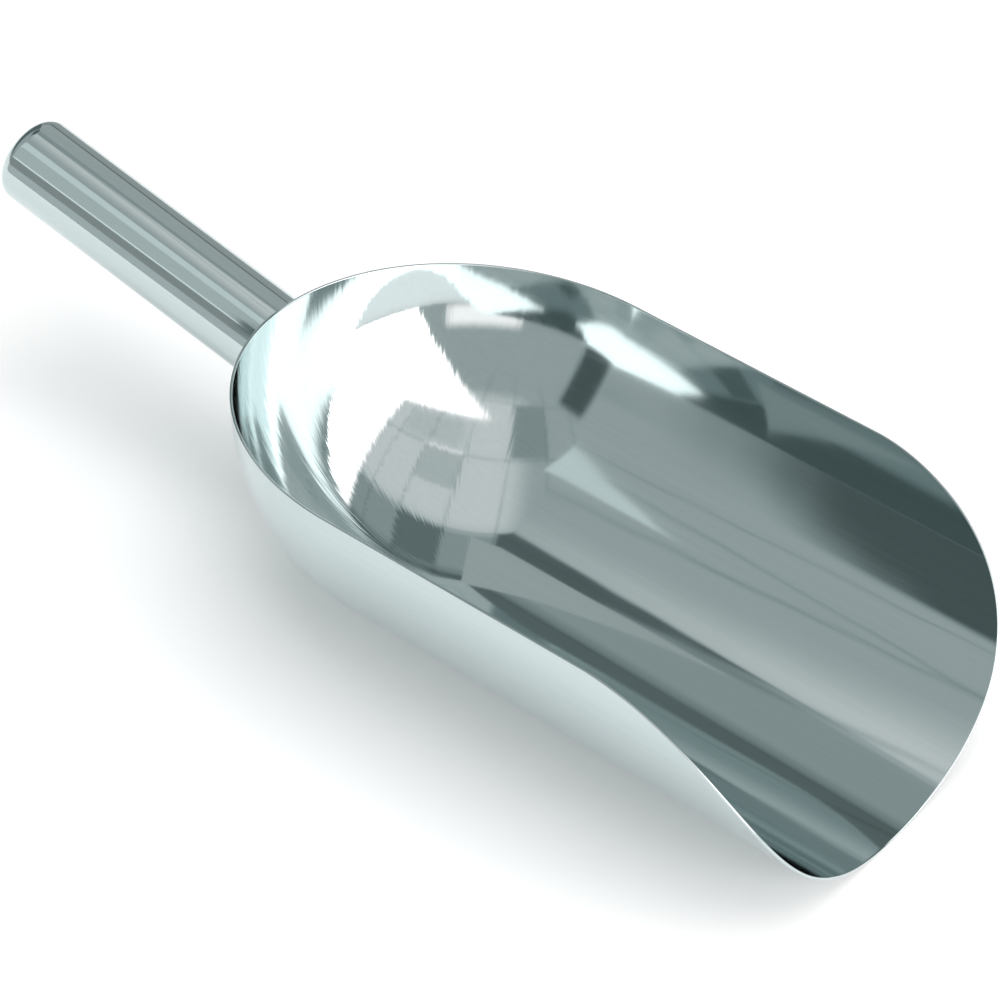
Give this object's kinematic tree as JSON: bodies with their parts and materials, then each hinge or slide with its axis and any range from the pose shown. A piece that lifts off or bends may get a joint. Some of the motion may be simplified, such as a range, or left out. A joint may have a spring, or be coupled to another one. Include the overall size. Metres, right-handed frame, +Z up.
{
  "type": "ice scoop",
  "caption": "Polished stainless ice scoop: round trough with a domed back and a swept rounded lip, and a tilted hollow tube handle with a soft-cornered closed end.",
  "frame": {"origin": "centre of the bounding box at its base, on the surface that the round bottom rests on", "axes": "+X towards the lip, +Z up, handle towards -X; the plane Y = 0 is the mirror plane"},
  "size_m": [0.3004, 0.1388, 0.0726],
  "materials": {
    "bowl_sheet": "polished stainless steel, fine polishing lines along the trough",
    "handle_tube": "polished stainless steel tube",
    "handle_cap": "polished stainless steel",
    "weld_metal": "ground and polished stainless weld"
  },
  "bodies": {
    "root": {"scoop_bowl": "bowl_sheet", "handle_tube": "handle_tube", "handle_end_cap": "handle_cap", "handle_root_weld": "weld_metal", "handle_cap_weld": "weld_metal"}
  },
  "joints": []
}
